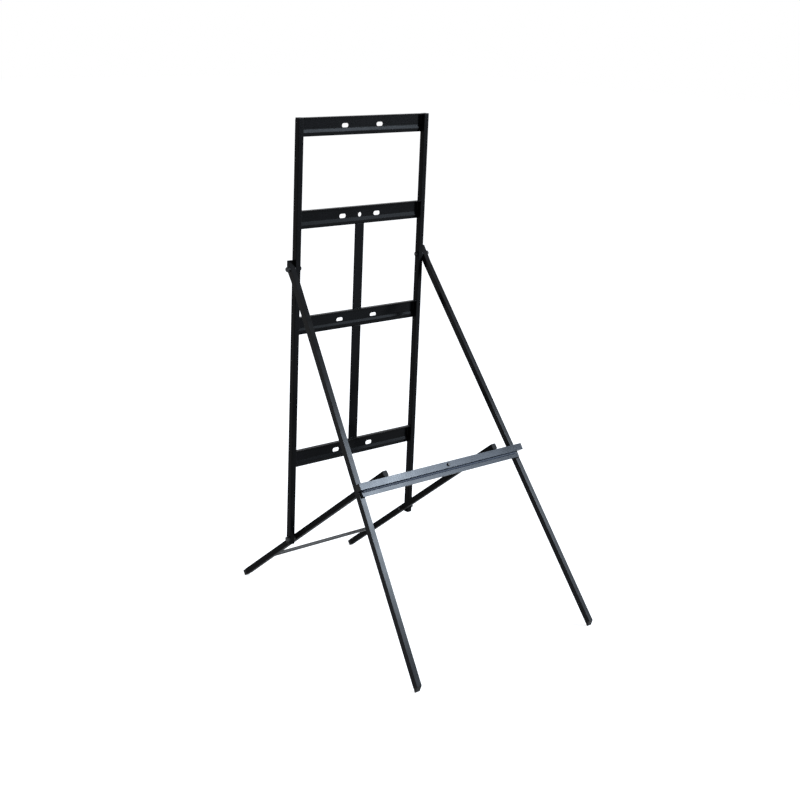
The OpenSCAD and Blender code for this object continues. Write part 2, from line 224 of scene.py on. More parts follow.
def build_marks_group():
    group = bpy.data.node_groups.new("surface_marks", "ShaderNodeTree")
    for name, start in MARK_INPUTS:
        socket = group.interface.new_socket(name, in_out="INPUT", socket_type="NodeSocketFloat")
        socket.default_value = start
    for name in MARK_OUTPUTS:
        group.interface.new_socket(name, in_out="OUTPUT", socket_type="NodeSocketFloat")
    given = add_node(group, "NodeGroupInput").outputs
    result = add_node(group, "NodeGroupOutput").inputs
    place = add_node(group, "ShaderNodeTexCoord").outputs

    join(group, add_noise(group, place["Object"], CLOUD_SCALE, 4.0, 0.6), result["Cloud"])
    join(group, add_dust(group, place, given["Dust"]), result["Dust Mask"])
    scratches = add_scratches(group, place, given["Scratches"])
    join(group, scratches, result["Scratch Mask"])
    join(group, add_rub(group, place, given["Edge Rub"]), result["Rub Mask"])

    peel = add_node(group, "ShaderNodeTexNoise", {"Detail": 2.0})
    join(group, place["Object"], peel.inputs["Vector"])
    join(group, given["Peel Scale"], peel.inputs["Scale"])
    grooves = add_math(group, "MULTIPLY", scratches, GROOVE_DEPTH)
    join(group, add_math(group, "ADD", peel.outputs["Fac"], grooves), result["Height"])
    return group


marks_group = build_marks_group()
print("Shared effect:", marks_group.name)

# %% [markdown]
# ## The finish recipe
# The stand is black all over, and what tells its materials apart is how they shine. A plain black shader
# would look like a silhouette, so the recipe lets colour, roughness and bump all vary a little. A low index
# of refraction keeps the sheen of thin black enamel weak, as in the photograph.

# %% Finish recipe
DUST = (0.20, 0.195, 0.185)
CLOUD_TINT, CLOUD_GLOSS = (0.35, 0.65), (0.3, 0.7)
DUST_DULLS, SCRATCH_DULLS, DULLEST = 0.5, 0.25, 0.9
RELIEF = 0.4 * MM


def build_finish(name, deep, pale, rough, rubbed, ior, bump, peel, dust, scratches, rub, metallic=0.0):
    finish = bpy.data.materials.new(name)
    finish.use_nodes = True
    tree = finish.node_tree
    shader = next(n for n in tree.nodes if n.type == "BSDF_PRINCIPLED")
    shader.inputs["IOR"].default_value = ior
    shader.inputs["Metallic"].default_value = metallic
    amounts = {"Peel Scale": peel, "Dust": dust, "Scratches": scratches, "Edge Rub": rub}
    out = add_node(tree, "ShaderNodeGroup", amounts, node_tree=marks_group).outputs

    body = add_mix(tree, add_range(tree, out["Cloud"], *CLOUD_TINT), deep, pale)
    dusty = add_mix(tree, out["Dust Mask"], body, DUST)
    join(tree, add_mix(tree, out["Rub Mask"], dusty, rubbed), shader.inputs["Base Color"])

    base = add_range(tree, out["Cloud"], *CLOUD_GLOSS, *rough)
    dulled = add_math(tree, "ADD", base, add_math(tree, "MULTIPLY", out["Dust Mask"], DUST_DULLS))
    scratched = add_math(tree, "MULTIPLY", out["Scratch Mask"], SCRATCH_DULLS)
    marked = add_math(tree, "ADD", dulled, scratched)
    join(tree, add_math(tree, "MINIMUM", marked, DULLEST), shader.inputs["Roughness"])

    relief = add_node(tree, "ShaderNodeBump", {"Strength": bump, "Distance": RELIEF})
    join(tree, out["Height"], relief.inputs["Height"])
    join(tree, relief.outputs["Normal"], shader.inputs["Normal"])
    return finish


print("Marks reach a roughness of at most", DULLEST)

# %% [markdown]
# ## Black paints of the tubes
# The struts have the fullest gloss, and the upright frame the same enamel with a thinner sheen. The foot
# bars, the welds and the painted nuts are satin: near the ground a coat dulls first, and a glossy bar would
# mirror the white floor along its underside, which the photograph doesn't show.

# %% Tube paints
gloss_paint = build_finish(
    "gloss_black_paint", deep=(0.0026, 0.0027, 0.003), pale=(0.0045, 0.0045, 0.0055), rough=(0.17, 0.24),
    rubbed=(0.03, 0.029, 0.028), ior=1.14, bump=0.03, peel=190.0, dust=0.05, scratches=0.5, rub=0.35,
)
frame_paint = build_finish(
    "frame_black_paint", deep=(0.0018, 0.0019, 0.0021), pale=(0.0032, 0.0032, 0.0038), rough=(0.17, 0.24),
    rubbed=(0.03, 0.029, 0.028), ior=1.105, bump=0.03, peel=190.0, dust=0.04, scratches=0.5, rub=0.35,
)
satin_paint = build_finish(
    "satin_black_paint", deep=(0.0024, 0.0024, 0.0026), pale=(0.0045, 0.0045, 0.0048), rough=(0.44, 0.56),
    rubbed=(0.05, 0.049, 0.047), ior=1.08, bump=0.04, peel=240.0, dust=0.10, scratches=0.6, rub=0.5,
)
print("Tube paints:", gloss_paint.name, frame_paint.name, satin_paint.name)

# %% [markdown]
# ## Coats of the crossbar and the tie rod
# The crossbar looks grey-blue because it faces the light. Its coat is smoother than the tubes', and its
# colour is painted lighter and bluer, a painted sheen of that light. Its strip shines less and has the same
# painted sheen, the filled seam between the two is dull and has the bluest painted sheen, and the tie rod
# has a lighter, slightly brown coat that shows as grey.

# %% Crossbar and rod coats
# The crossbar's coat is painted lighter and bluer than black enamel, a painted sheen of the light it faces.
crossbar_sheen_paint = build_finish(
    "crossbar_paint_with_painted_sheen", deep=(0.012, 0.016, 0.024), pale=(0.020, 0.026, 0.038), rough=(0.15, 0.22),
    rubbed=(0.06, 0.065, 0.075), ior=1.155, bump=0.02, peel=150.0, dust=0.06, scratches=0.6, rub=0.4,
)
# The strip's coat has the same painted sheen, lighter and bluer than black enamel.
strip_sheen_paint = build_finish(
    "crossbar_strip_paint_with_painted_sheen", deep=(0.012, 0.015, 0.022), pale=(0.019, 0.024, 0.034), rough=(0.17, 0.24),
    rubbed=(0.06, 0.065, 0.075), ior=1.14, bump=0.02, peel=150.0, dust=0.06, scratches=0.7, rub=0.4,
)
# The seam's bluish colour is painted sheen.
seam_sheen_paint = build_finish(
    "crossbar_seam_paint_with_painted_sheen", deep=(0.020, 0.031, 0.052), pale=(0.030, 0.044, 0.070), rough=(0.42, 0.54),
    rubbed=(0.05, 0.055, 0.065), ior=1.40, bump=0.06, peel=300.0, dust=0.05, scratches=0.3, rub=0.2,
)
rod_paint = build_finish(
    "tie_rod_paint", deep=(0.017, 0.015, 0.013), pale=(0.029, 0.026, 0.023), rough=(0.30, 0.42),
    rubbed=(0.08, 0.08, 0.08), ior=1.38, bump=0.05, peel=260.0, dust=0.12, scratches=0.5, rub=0.3,
)
print("Coats:", crossbar_sheen_paint.name, strip_sheen_paint.name, seam_sheen_paint.name, rod_paint.name)

# %% [markdown]
# ## Plating and plastic
# The bolts are plated black, which is a thin dark metal and not a paint, so the recipe gets a share of
# metal and a strong rub on the edges. The caps and feet are moulded plastic with a fine matt grain.

# %% Plating and plastic
black_plating = build_finish(
    "black_bolt_plating", deep=(0.022, 0.022, 0.023), pale=(0.040, 0.040, 0.040), rough=(0.32, 0.46),
    rubbed=(0.14, 0.135, 0.13), ior=1.2, bump=0.05, peel=600.0, dust=0.08, scratches=0.7, rub=0.9,
    metallic=0.55,
)
black_plastic = build_finish(
    "black_moulded_plastic", deep=(0.004, 0.004, 0.004), pale=(0.007, 0.007, 0.007), rough=(0.46, 0.58),
    rubbed=(0.03, 0.03, 0.03), ior=1.2, bump=0.12, peel=900.0, dust=0.10, scratches=0.25, rub=0.2,
)
print("All finishes:", [m.name for m in bpy.data.materials])

# %% [markdown]
# ## Turning a bmesh into a piece
# A bmesh is only a shape. To become a piece it needs shading that keeps the flat faces flat, a finish, a
# body to ride on and the CAD node that it stands for. Weighted normals let the narrow rounded edges catch
# a line of light without bending the light on the wide faces beside them.

# %% Piece helper
SHARP = math.radians(50)
node_body = {name: node["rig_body"] for name, node in frame["nodes"].items()}


def make_piece(name, bm, finish, body, stands_for=()):
    for face in bm.faces:
        face.smooth = True
    for edge in bm.edges:
        edge.smooth = edge.calc_face_angle(math.pi) < SHARP
    mesh = bpy.data.meshes.new(name)
    bm.to_mesh(mesh)
    bm.free()
    mesh.materials.append(finish)
    obj = show(bpy.data.objects.new(name, mesh))
    even = obj.modifiers.new("even_shading", "WEIGHTED_NORMAL")
    even.keep_sharp = True
    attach(obj, body)
    if stands_for:
        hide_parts(*stands_for)
    print(name, "faces:", len(mesh.polygons))
    return obj


def stand_in(name, bm, finish, node):
    return make_piece(name, bm, finish, node_body[node], (node,))


bodies = list(node_body.values())
print("CAD nodes by body:", {body: bodies.count(body) for body in sorted(set(bodies))})

# %% [markdown]
# ## Rounding a CAD solid
# Square tube is rolled and welded, so its corners are round, and a pressed rail has a bend and not a
# corner. Redrawing each tube would risk moving it, so a copy of the CAD mesh is merged back into whole
# faces and its edges are bevelled. Bevelling in passes, widest first, keeps the small rims small.

# %% Rounding helpers
MERGE = 0.02 * MM
FLAT = math.radians(0.4)
CREASE = math.radians(30)


def whole_faces(node):
    bm = bmesh.new()
    bm.from_mesh(frame["nodes"][node].data)
    bmesh.ops.remove_doubles(bm, verts=bm.verts, dist=MERGE)
    bmesh.ops.dissolve_limit(bm, angle_limit=FLAT, verts=bm.verts, edges=bm.edges)
    bm.faces.layers.float.new("rounded_edge")
    return bm


def bends_out(edge):
    return len(edge.link_faces) == 2 and edge.calc_face_angle_signed(0.0) > CREASE


def round_edges(bm, edges, radius, segments, mark=1.0):
    if not edges:
        return
    done = bmesh.ops.bevel(
        bm, geom=edges, offset=radius, offset_type="OFFSET", segments=segments, profile=0.5,
        affect="EDGES", clamp_overlap=True, material=-1,
    )
    layer = bm.faces.layers.float.get("rounded_edge")
    for face in done["faces"]:
        face[layer] = mark


print("Edges sharper than", round(math.degrees(CREASE)), "degrees count as corners")

# %% [markdown]
# ## Posts, struts, foot bars and crossbar tube
# These are the long square tubes. Only their four long corners are rounded, so the cut ends keep a fine
# line where a plastic cap meets the tube. The foot bars have the roundest corners and the crossbar's tube
# the tightest, as the width of the light along their edges shows.

# %% Square tubes
CORNER = 2.4 * MM
BAR_CORNER = 4.4 * MM
CROSS_CORNER = 1.2 * MM
CORNER_STEPS = 5
LONG = 30 * MM
PARALLEL = 0.95


def direction(edge):
    return (edge.verts[1].co - edge.verts[0].co).normalized()


def tube_axis(bm):
    return direction(max(bm.edges, key=lambda e: e.calc_length()))


def rounded_tube(node, finish, corner):
    bm = whole_faces(node)
    along = tube_axis(bm)
    corners = [
        e for e in bm.edges
        if bends_out(e) and e.calc_length() > LONG and abs(direction(e).dot(along)) > PARALLEL
    ]
    round_edges(bm, corners, corner, CORNER_STEPS)
    return stand_in("painted_" + node, bm, finish, node)


for node, finish, corner in (
    ("left_post", frame_paint, CORNER), ("right_post", frame_paint, CORNER),
    ("left_strut", gloss_paint, CORNER), ("right_strut", gloss_paint, CORNER),
    ("left_foot_bar", satin_paint, BAR_CORNER), ("right_foot_bar", satin_paint, BAR_CORNER),
    ("crossbar_tube", crossbar_sheen_paint, CROSS_CORNER),
):
    rounded_tube(node, finish, corner)

# %% [markdown]
# ## Rails
# Each rail is pressed from one sheet: a flange at the top, a flat web with the punched slots, and a shallow
# bead below them that stiffens it. The outside of a bend is rounder than the inside, and the bead flows
# into the web, so its gentle corners get a wide bevel. That curve is what draws the bright line along it.

# %% Pressed rails
RAILS = ("top_rail", "second_rail", "third_rail", "bottom_rail")
INNER_BEND = 1.6 * MM
OUTER_BEND = 4.4 * MM
BEAD_FLOW = 4.2 * MM
SHEET_RIM = 0.8 * MM
RIM_ZONE = 2.0 * MM
RAIL_LONG = 400 * MM
GENTLE_OUT, GENTLE_IN = (12, 58), (-58, -12)
SQUARE_OUT, SQUARE_IN, RIMS = (80, 100), (-100, -80), (60, 120)


def long_bends(bm, lowest, highest):
    chosen = []
    for edge in bm.edges:
        if edge.calc_length() > RAIL_LONG and len(edge.link_faces) == 2:
            bend = math.degrees(edge.calc_face_angle_signed(0.0))
            if lowest < bend < highest:
                chosen.append(edge)
    return chosen


def pressed_rail(node):
    bm = whole_faces(node)
    low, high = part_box(node)
    gentle = long_bends(bm, *GENTLE_OUT) + long_bends(bm, *GENTLE_IN)
    bead_bends = [e for e in gentle if min(v.co.z for v in e.verts) > low.z + RIM_ZONE]
    round_edges(bm, bead_bends, BEAD_FLOW, segments=6, mark=0.0)
    front_top = [
        e for e in long_bends(bm, *SQUARE_OUT)
        if all(v.co.y < low.y + MM and v.co.z > high.z - MM for v in e.verts)
    ]
    round_edges(bm, front_top, OUTER_BEND, segments=6, mark=0.4)
    round_edges(bm, long_bends(bm, *SQUARE_IN), INNER_BEND, segments=4, mark=0.0)
    round_edges(bm, long_bends(bm, *RIMS), SHEET_RIM, segments=2)
    return stand_in("pressed_" + node, bm, frame_paint, node)


for node in RAILS:
    pressed_rail(node)

# %% [markdown]
# ## Flat bars and the tie rod
# The centre bars and the crossbar's strip are hot-rolled flats, whose long edges are slightly round. The
# tie rod is plain round bar, cut to length, so only the rims of its two ends are broken.

# %% Flats and rod
FLAT_EDGE = 0.9 * MM
ROD_RIM = 0.6 * MM
RIM_FACET = 2.0 * MM
CENTRE_BARS = ("upper_centre_bar", "lower_centre_bar")

for node in (*CENTRE_BARS, "crossbar_strip"):
    bm = whole_faces(node)
    long_edges = [e for e in bm.edges if bends_out(e) and e.calc_length() > LONG]
    round_edges(bm, long_edges, FLAT_EDGE, segments=3)
    stand_in("rolled_" + node, bm, frame_paint if node in CENTRE_BARS else strip_sheen_paint, node)

rod = whole_faces("foot_tie_rod")
end_rims = [e for e in rod.edges if bends_out(e) and e.calc_length() < RIM_FACET]
round_edges(rod, end_rims, ROD_RIM, segments=2)
stand_in("round_foot_tie_rod", rod, rod_paint, "foot_tie_rod")

# %% [markdown]
# ## Caps and feet
# Plastic plugs close every tube end. A cap follows the tube's rounded corner and is softer at its outer
# rim, and the feet on the ground have a fuller rounding, where the real ones wear first. Which edges follow
# the tube is read from the tube itself, so a cap needs no angle of its own.

# %% Plastic caps and feet
CAP_RIM = 0.9 * MM
FOOT_RIM = 1.2 * MM
FOLLOWS = 0.98
SIDEWAYS = Vector((1, 0, 0))


def axis_of(node):
    bm = whole_faces(node)
    along = tube_axis(bm)
    bm.free()
    return along


def round_cap(node, bm, along, corner, rim):
    def runs_along(edge):
        return abs(direction(edge).dot(along)) > FOLLOWS

    corners = [e for e in bm.edges if bends_out(e) and runs_along(e)]
    round_edges(bm, corners, corner, CORNER_STEPS, mark=0.3)
    ends = [e for e in bm.edges if bends_out(e) and not runs_along(e)]
    round_edges(bm, ends, rim, segments=3)
    return stand_in("moulded_" + node, bm, black_plastic, node)


along_bar = axis_of("left_foot_bar")
for node, along, corner, rim in (
    ("post_top_caps", UP, CORNER, CAP_RIM),
    ("post_bottom_caps", UP, CORNER, CAP_RIM),
    ("bar_rear_caps", along_bar, BAR_CORNER, CAP_RIM),
    ("crossbar_end_caps", SIDEWAYS, CROSS_CORNER, CAP_RIM),
    ("left_bar_foot", along_bar, BAR_CORNER, FOOT_RIM),
    ("right_bar_foot", along_bar, BAR_CORNER, FOOT_RIM),
):
    round_cap(node, whole_faces(node), along, corner, rim)

# %% [markdown]
# ## The struts' own frame
# The struts lean, and what sits on them is easier to place in their own frame: X sideways, Y out of their
# rear face and Z up along them, from the pivot pin. The lean is measured on the strut, and the pin on the
# spacer washers round it, so the frame follows the CAD.

# %% Frame of the struts
pin_low, pin_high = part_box("strut_pivot_spacers")
strut_pin = Vector((0, (pin_low.y + pin_high.y) / 2, (pin_low.z + pin_high.z) / 2))
strut_axis = axis_of("left_strut")
strut_lean = math.atan2(abs(strut_axis.y), abs(strut_axis.z))
strut_frame = Matrix.Translation(strut_pin) @ Matrix.Rotation(strut_lean, 4, "X")
to_strut = strut_frame.inverted()
print("Strut lean in degrees:", round(math.degrees(strut_lean), 3))

# %% [markdown]
# ## Slanted strut feet
# The photograph shows the rear corner of each strut's foot cut on the slant, so that only a narrow sole in
# front stands on the ground. A wide bevel would round it; one straight cut with bisect_plane, filled again,
# is what a saw would do.

# %% Strut feet
SOLE = 3.0 * MM
SLANT_RISE = 17.0 * MM
SLANT_RIM = 0.8 * MM
CUT_SNAP = 1e-6
post_low, post_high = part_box("left_post")
TUBE = post_high.x - post_low.x
along_strut = strut_frame.to_3x3() @ UP


def saw(bm, point, normal, snap):
    everything = bm.verts[:] + bm.edges[:] + bm.faces[:]
    cut = bmesh.ops.bisect_plane(
        bm, geom=everything, dist=snap, plane_co=point, plane_no=normal, clear_outer=True,
    )
    rim = [part for part in cut["geom_cut"] if isinstance(part, bmesh.types.BMEdge)]
    bmesh.ops.edgenet_fill(bm, edges=rim)


for node in ("left_strut_foot", "right_strut_foot"):
    bm = whole_faces(node)
    end = min((to_strut @ v.co).z for v in bm.verts)
    slope = Vector((0, SLANT_RISE, SOLE - TUBE)).normalized()
    start = Vector((0, SOLE - TUBE / 2, end))
    saw(bm, strut_frame @ start, strut_frame.to_3x3() @ slope, CUT_SNAP)
    bmesh.ops.recalc_face_normals(bm, faces=bm.faces)
    round_cap(node, bm, along_strut, CORNER, SLANT_RIM)

# %% [markdown]
# ## Strut head caps
# The heads of the struts are cut flush with the front of the posts, so their caps are thin slanted plates
# with no long corner. Every outer edge gets the same small rounding.

# %% Head caps
head_caps = whole_faces("strut_top_caps")
round_edges(head_caps, [e for e in head_caps.edges if bends_out(e)], CAP_RIM, segments=3)
stand_in("moulded_strut_top_caps", head_caps, black_plastic, "strut_top_caps")

# %% [markdown]
# ## Turned and hexagon hardware
# A bolt head is a hexagon cut from round bar that was first turned to a shallow cone, which is why its
# corners dip. The same order works here: spin an outline round the X axis, then slice off six flats.
# Outlines are in millimetres, as pairs of a place along the axis and a radius.

# %% Turning and cutting
POINT_MERGE = 1e-6
HEX_SNAP = 1e-7
RING_STEPS, HEX_STEPS = 48, 60


def spin_round(bm, steps):
    bmesh.ops.spin(
        bm, geom=bm.verts[:] + bm.edges[:], cent=(0, 0, 0), axis=(1, 0, 0), angle=math.tau, steps=steps,
        use_merge=True, use_duplicate=False,
    )
    bmesh.ops.remove_doubles(bm, verts=bm.verts, dist=POINT_MERGE)
    return bm


def turned(outline, closed, steps):
    bm = bmesh.new()
    verts = [bm.verts.new((along * MM, 0.0, radius * MM)) for along, radius in outline]
    for pair in zip(verts, verts[1:]):
        bm.edges.new(pair)
    if closed:
        bm.edges.new((verts[-1], verts[0]))
    return spin_round(bm, steps)


def cut_hexagon(bm, flats):
    for side in range(6):
        turn = math.radians(60 * side)
        way = Vector((0, math.cos(turn), math.sin(turn)))
        saw(bm, way * flats * MM / 2, way, HEX_SNAP)
    return bm


def gather(sources, places):
    whole = bmesh.new()
    for bm in sources:
        bmesh.ops.recalc_face_normals(bm, faces=bm.faces)
        for place in places:
            spare = bpy.data.meshes.new("spare")
            bm.to_mesh(spare)
            spare.transform(place)
            whole.from_mesh(spare)
            bpy.data.meshes.remove(spare)
        bm.free()
    return whole


print("Hardware is turned in", HEX_STEPS, "steps")

# %% [markdown]
# ## Bolts, nuts and rings
# A bolt has a chamfered tip, a few turns of thread, a plain shank and the hexagon head. A nut is the same
# hexagon with a countersunk bore, and a washer or bush is a ring with broken edges. The thread is a stack
# of grooves and not a true helix, which nobody can tell apart at this size.

# %% Bolts, nuts and rings
HEX_FACE = 0.475
TIP_LENGTH, TIP_DROP, TIP_END = 0.9, 1.0, 0.1
THREAD_RUN, GROOVE, CREST, RUN_OUT = 9.0, 0.75, 0.05, 0.5
COUNTERSINK = 0.7
SOFT = 0.3


def hexagon(flats):
    corner = flats / math.sqrt(3)
    face = flats * HEX_FACE
    return corner, face, (corner - face) * 0.5


def hex_bolt(tip, seat, top, shank, flats, pitch):
    corner, face, dip = hexagon(flats)
    at = tip + TIP_LENGTH
    outline = [(tip, 0), (tip, shank - TIP_DROP), (at, shank - TIP_END)]
    while at + pitch < tip + THREAD_RUN:
        outline += [(at + pitch * 0.5, shank - GROOVE), (at + pitch, shank - CREST)]
        at += pitch
    outline += [(at + RUN_OUT, shank), (seat, shank), (seat, corner), (top - dip, corner)]
    outline += [(top, face), (top, 0)]
    return cut_hexagon(turned(outline, False, HEX_STEPS), flats)


def hex_nut(low, high, shank, flats):
    corner, face, dip = hexagon(flats)
    mouth = shank + COUNTERSINK
    outline = [(low, mouth), (low + COUNTERSINK, shank), (high - COUNTERSINK, shank), (high, mouth)]
    outline += [(high, face), (high - dip, corner), (low + dip, corner), (low, face)]
    return cut_hexagon(turned(outline, True, HEX_STEPS), flats)


def round_ring(low, high, bore, radius, edge):
    soft = edge * SOFT
    outline = [(low, bore), (low, radius - edge), (low + soft, radius - soft), (low + edge, radius)]
    outline += [(high - edge, radius), (high - soft, radius - soft), (high, radius - edge), (high, bore)]
    return turned(outline, True, RING_STEPS)


print("Thread length in mm:", THREAD_RUN)

# %% [markdown]
# ## Pivot hardware
# Every swinging joint has a bolt with its head outside, washers on the moving faces and a nut inside. The
# places come from the CAD solids, so the pieces land exactly where the solids are. Each piece is made once,
# on the left, and turned half round for the right. The nuts were painted over with the frame.

# %% Pivot bolts, washers and nuts
BOLT_R, BOLT_FLATS, BOLT_HEAD, THREAD = 6.0, 19.0, 7.5, 1.75
WASHER_R, BUSH_R = 12.0, 10.0
WASHER_EDGE, BUSH_EDGE = 0.5, 0.6


def sides_at(node):
    low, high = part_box(node)
    middle = Matrix.Translation((0, (low.y + high.y) / 2, (low.z + high.z) / 2))
    return [middle, middle @ Matrix.Rotation(math.pi, 4, "Z")]


def reach(node):
    places = [v.co.x / MM for v in frame["nodes"][node].data.vertices if v.co.x > 0]
    return min(places), max(places)


def pivot_bolt(node):
    tip, top = reach(node)
    return hex_bolt(tip, top - BOLT_HEAD, top, BOLT_R, BOLT_FLATS, THREAD)


def washer(inner, outer):
    return round_ring(inner, outer, BOLT_R, WASHER_R, WASHER_EDGE)


def nut(node):
    return hex_nut(*reach(node), BOLT_R, BOLT_FLATS)


strut_sides, foot_sides = sides_at("strut_pivot_spacers"), sides_at("foot_pivot_bushes")
washer_in, washer_out = reach("strut_pivot_washers")
washer_thick = washer_out - washer_in
inner_face, outer_face = reach("foot_pivot_washers")
bush = round_ring(*reach("foot_pivot_bushes"), BOLT_R, BUSH_R, BUSH_EDGE)
foot_washers = [
    washer(outer_face - washer_thick, outer_face), washer(inner_face, inner_face + washer_thick),
]
for node, parts, places, finish in (
    ("strut_pivot_bolts", [pivot_bolt("strut_pivot_bolts")], strut_sides, black_plating),
    ("strut_pivot_nuts", [nut("strut_pivot_nuts")], strut_sides, satin_paint),
    ("strut_pivot_spacers", [washer(*reach("strut_pivot_spacers"))], strut_sides, black_plating),
    ("strut_pivot_washers", [washer(washer_in, washer_out)], strut_sides, black_plating),
    ("foot_pivot_bolts", [pivot_bolt("foot_pivot_bolts")], foot_sides, black_plating),
    ("foot_pivot_nuts", [nut("foot_pivot_nuts")], foot_sides, satin_paint),
    ("foot_pivot_bushes", [bush], foot_sides, black_plating),
    ("foot_pivot_washers", foot_washers, foot_sides, black_plating),
):
    stand_in("machined_" + node, gather(parts, places), finish, node)

# %% [markdown]
# ## Crossbar bolt
# One bolt goes through the crossbar's tube and strip, square to the struts. The bolt is made along X like
# the others and then turned to the struts' own frame, where the CAD bolt is measured too.

# %% Crossbar bolt and nut
CROSS_BOLT_R, CROSS_FLATS, CROSS_HEAD, CROSS_THREAD = 4.0, 13.0, 5.5, 1.25


def box_on_strut(node):
    places = [to_strut @ v.co / MM for v in frame["nodes"][node].data.vertices]
    low = Vector([min(p[i] for p in places) for i in range(3)])
    high = Vector([max(p[i] for p in places) for i in range(3)])
    return low, high


bolt_low, bolt_high = box_on_strut("crossbar_bolt")
nut_low, nut_high = box_on_strut("crossbar_nut")
bolt_middle = (bolt_low + bolt_high) / 2 * MM
to_rear = Matrix.Rotation(math.pi / 2, 4, "Z")
behind = strut_frame @ Matrix.Translation((bolt_middle.x, 0, bolt_middle.z)) @ to_rear
seat = bolt_high.y - CROSS_HEAD
cross_bolt = hex_bolt(bolt_low.y, seat, bolt_high.y, CROSS_BOLT_R, CROSS_FLATS, CROSS_THREAD)
cross_nut = hex_nut(nut_low.y, nut_high.y, CROSS_BOLT_R, CROSS_FLATS)
stand_in("machined_crossbar_bolt", gather([cross_bolt], [behind]), black_plating, "crossbar_bolt")
stand_in("machined_crossbar_nut", gather([cross_nut], [behind]), black_plating, "crossbar_nut")

# %% [markdown]
# ## Weld beads
# The stand is held together by welds under the paint. A bead is a small bar of weld metal whose ripples
# show each step of the torch, so a thin cylinder is cut into short lengths, swelled and pinched along its
# run and rounded off at both ends. Welds are not in the CAD, because they only join faces that touch.

# %% Weld helpers
BEAD = 2.6 * MM
BEAD_SIDES = 10
BEAD_STEP = 0.8 * MM
FEWEST_CUTS = 8
RIPPLE_STEP, PINCHED, RIPPLE = 2.6 * MM, 0.93, 0.10
WANDER, WANDER_SCALE = 0.10, 90.0
TAPER, BLUNT = 1.6, 0.25
RING_SPIN = 72
RING_RIPPLES, RING_SWELL = 9, 0.035


def bead_size(along, length, radius, seed):
    from_end = min(1.0, max(0.0, (length / 2 - abs(along)) / (radius * TAPER)))
    rounded = BLUNT + (1 - BLUNT) * math.sqrt(1 - (1 - from_end) ** 2)
    ripple = PINCHED + RIPPLE * abs(math.sin(math.pi * along / RIPPLE_STEP))
    wander = WANDER * noise.noise(Vector((along * WANDER_SCALE, seed, 0.0)))
    return rounded * (ripple + wander)


def weld_bead(start, end, radius, seed):
    run = Vector(end) - Vector(start)
    length = run.length
    bm = bmesh.new()
    bmesh.ops.create_cone(
        bm, cap_ends=True, segments=BEAD_SIDES, radius1=radius, radius2=radius, depth=length,
    )
    long_edges = [e for e in bm.edges if abs(e.verts[0].co.z - e.verts[1].co.z) > length / 2]
    cuts = max(FEWEST_CUTS, int(length / BEAD_STEP))
    bmesh.ops.subdivide_edges(bm, edges=long_edges, cuts=cuts, use_grid_fill=True)
    for vert in bm.verts:
        size = bead_size(vert.co.z, length, radius, seed)
        vert.co.x *= size
        vert.co.y *= size
    middle = Matrix.Translation((Vector(start) + Vector(end)) / 2)
    bm.transform(middle @ run.to_track_quat("Z", "Y").to_matrix().to_4x4())
    return bm


def weld_ring(centre, radius, bead):
    bm = bmesh.new()
    bmesh.ops.create_circle(bm, segments=BEAD_SIDES, radius=bead)
    bm.transform(Matrix.Translation((0, 0, radius)) @ Matrix.Rotation(math.pi / 2, 4, "X"))
    spin_round(bm, RING_SPIN)
    for vert in bm.verts:
        turn = math.atan2(vert.co.z, vert.co.y)
        swell = 1 + RING_SWELL * abs(math.sin(turn * RING_RIPPLES))
        vert.co.y *= swell
        vert.co.z *= swell
    bm.transform(Matrix.Translation(centre))
    return bm


def welded(name, beads, finish, body):
    return make_piece(name, gather(beads, [Matrix()]), finish, body)


print("Bead radius in mm:", round(BEAD / MM, 2))

# %% [markdown]
# ## Welds of the upright frame
# Each rail end has two beads against its post, one down the web and one along the underside of the flange.
# Each centre bar has one bead across its top end and one across its bottom end.

# %% Frame welds
WEB_SEAT, FLANGE_SEAT = 3.0 * MM, 3.0 * MM
WEB_TOP, WEB_BOTTOM = 6.0 * MM, 46.0 * MM
FLANGE_START, FLANGE_STOP = 5.0 * MM, 1.0 * MM
BAR_INSET, BAR_SINK = 2.0 * MM, 1.0 * MM

beads = []
for number, node in enumerate(RAILS):
    low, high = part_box(node)
    web = low.y + WEB_SEAT
    under = high.z - FLANGE_SEAT
    for x in (low.x, high.x):
        down = ((x, web, high.z - WEB_TOP), (x, web, high.z - WEB_BOTTOM))
        back = ((x, low.y + FLANGE_START, under), (x, high.y - FLANGE_STOP, under))
        beads.append(weld_bead(*down, BEAD, seed=number + x))
        beads.append(weld_bead(*back, BEAD, seed=number - x))
for number, node in enumerate(CENTRE_BARS):
    low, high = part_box(node)
    first, last = low.x + BAR_INSET, high.x - BAR_INSET
    for rear, z, seed in ((high.y - BAR_SINK, high.z, 20), (high.y, low.z, 30)):
        beads.append(weld_bead((first, rear, z), (last, rear, z), BEAD, seed=seed + number))
welded("frame_welds", beads, frame_paint, "frame")

# %% [markdown]
# ## Welds of the crossbar
# The strip is welded to both struts along its lower edge. On the left it stops short of the strut's outer
# side, and the photograph is black there, so a thick upright bead fills that place. Between tube and strip
# runs one long filled seam, which shows as a bluish line.

# %% Crossbar welds and seam
WELD_MIDDLE, WELD_HALF = 442.9, 11.0
WELD_OUT, WELD_BELOW = 1.0, 0.96
FILL_X, FILL_OUT = (4.14, 5.34), 0.3
FILL_ABOVE, FILL_BELOW, FILL_RADIUS = 23.34, 1.16, 4.8 * MM
SEAM_HALF, SEAM_OUT, SEAM_BELOW, SEAM_RADIUS = 440.0, 2.5, 2.46, 5.0 * MM


def on_strut(x, y, z):
    return strut_frame @ (Vector((x, y, z)) * MM)


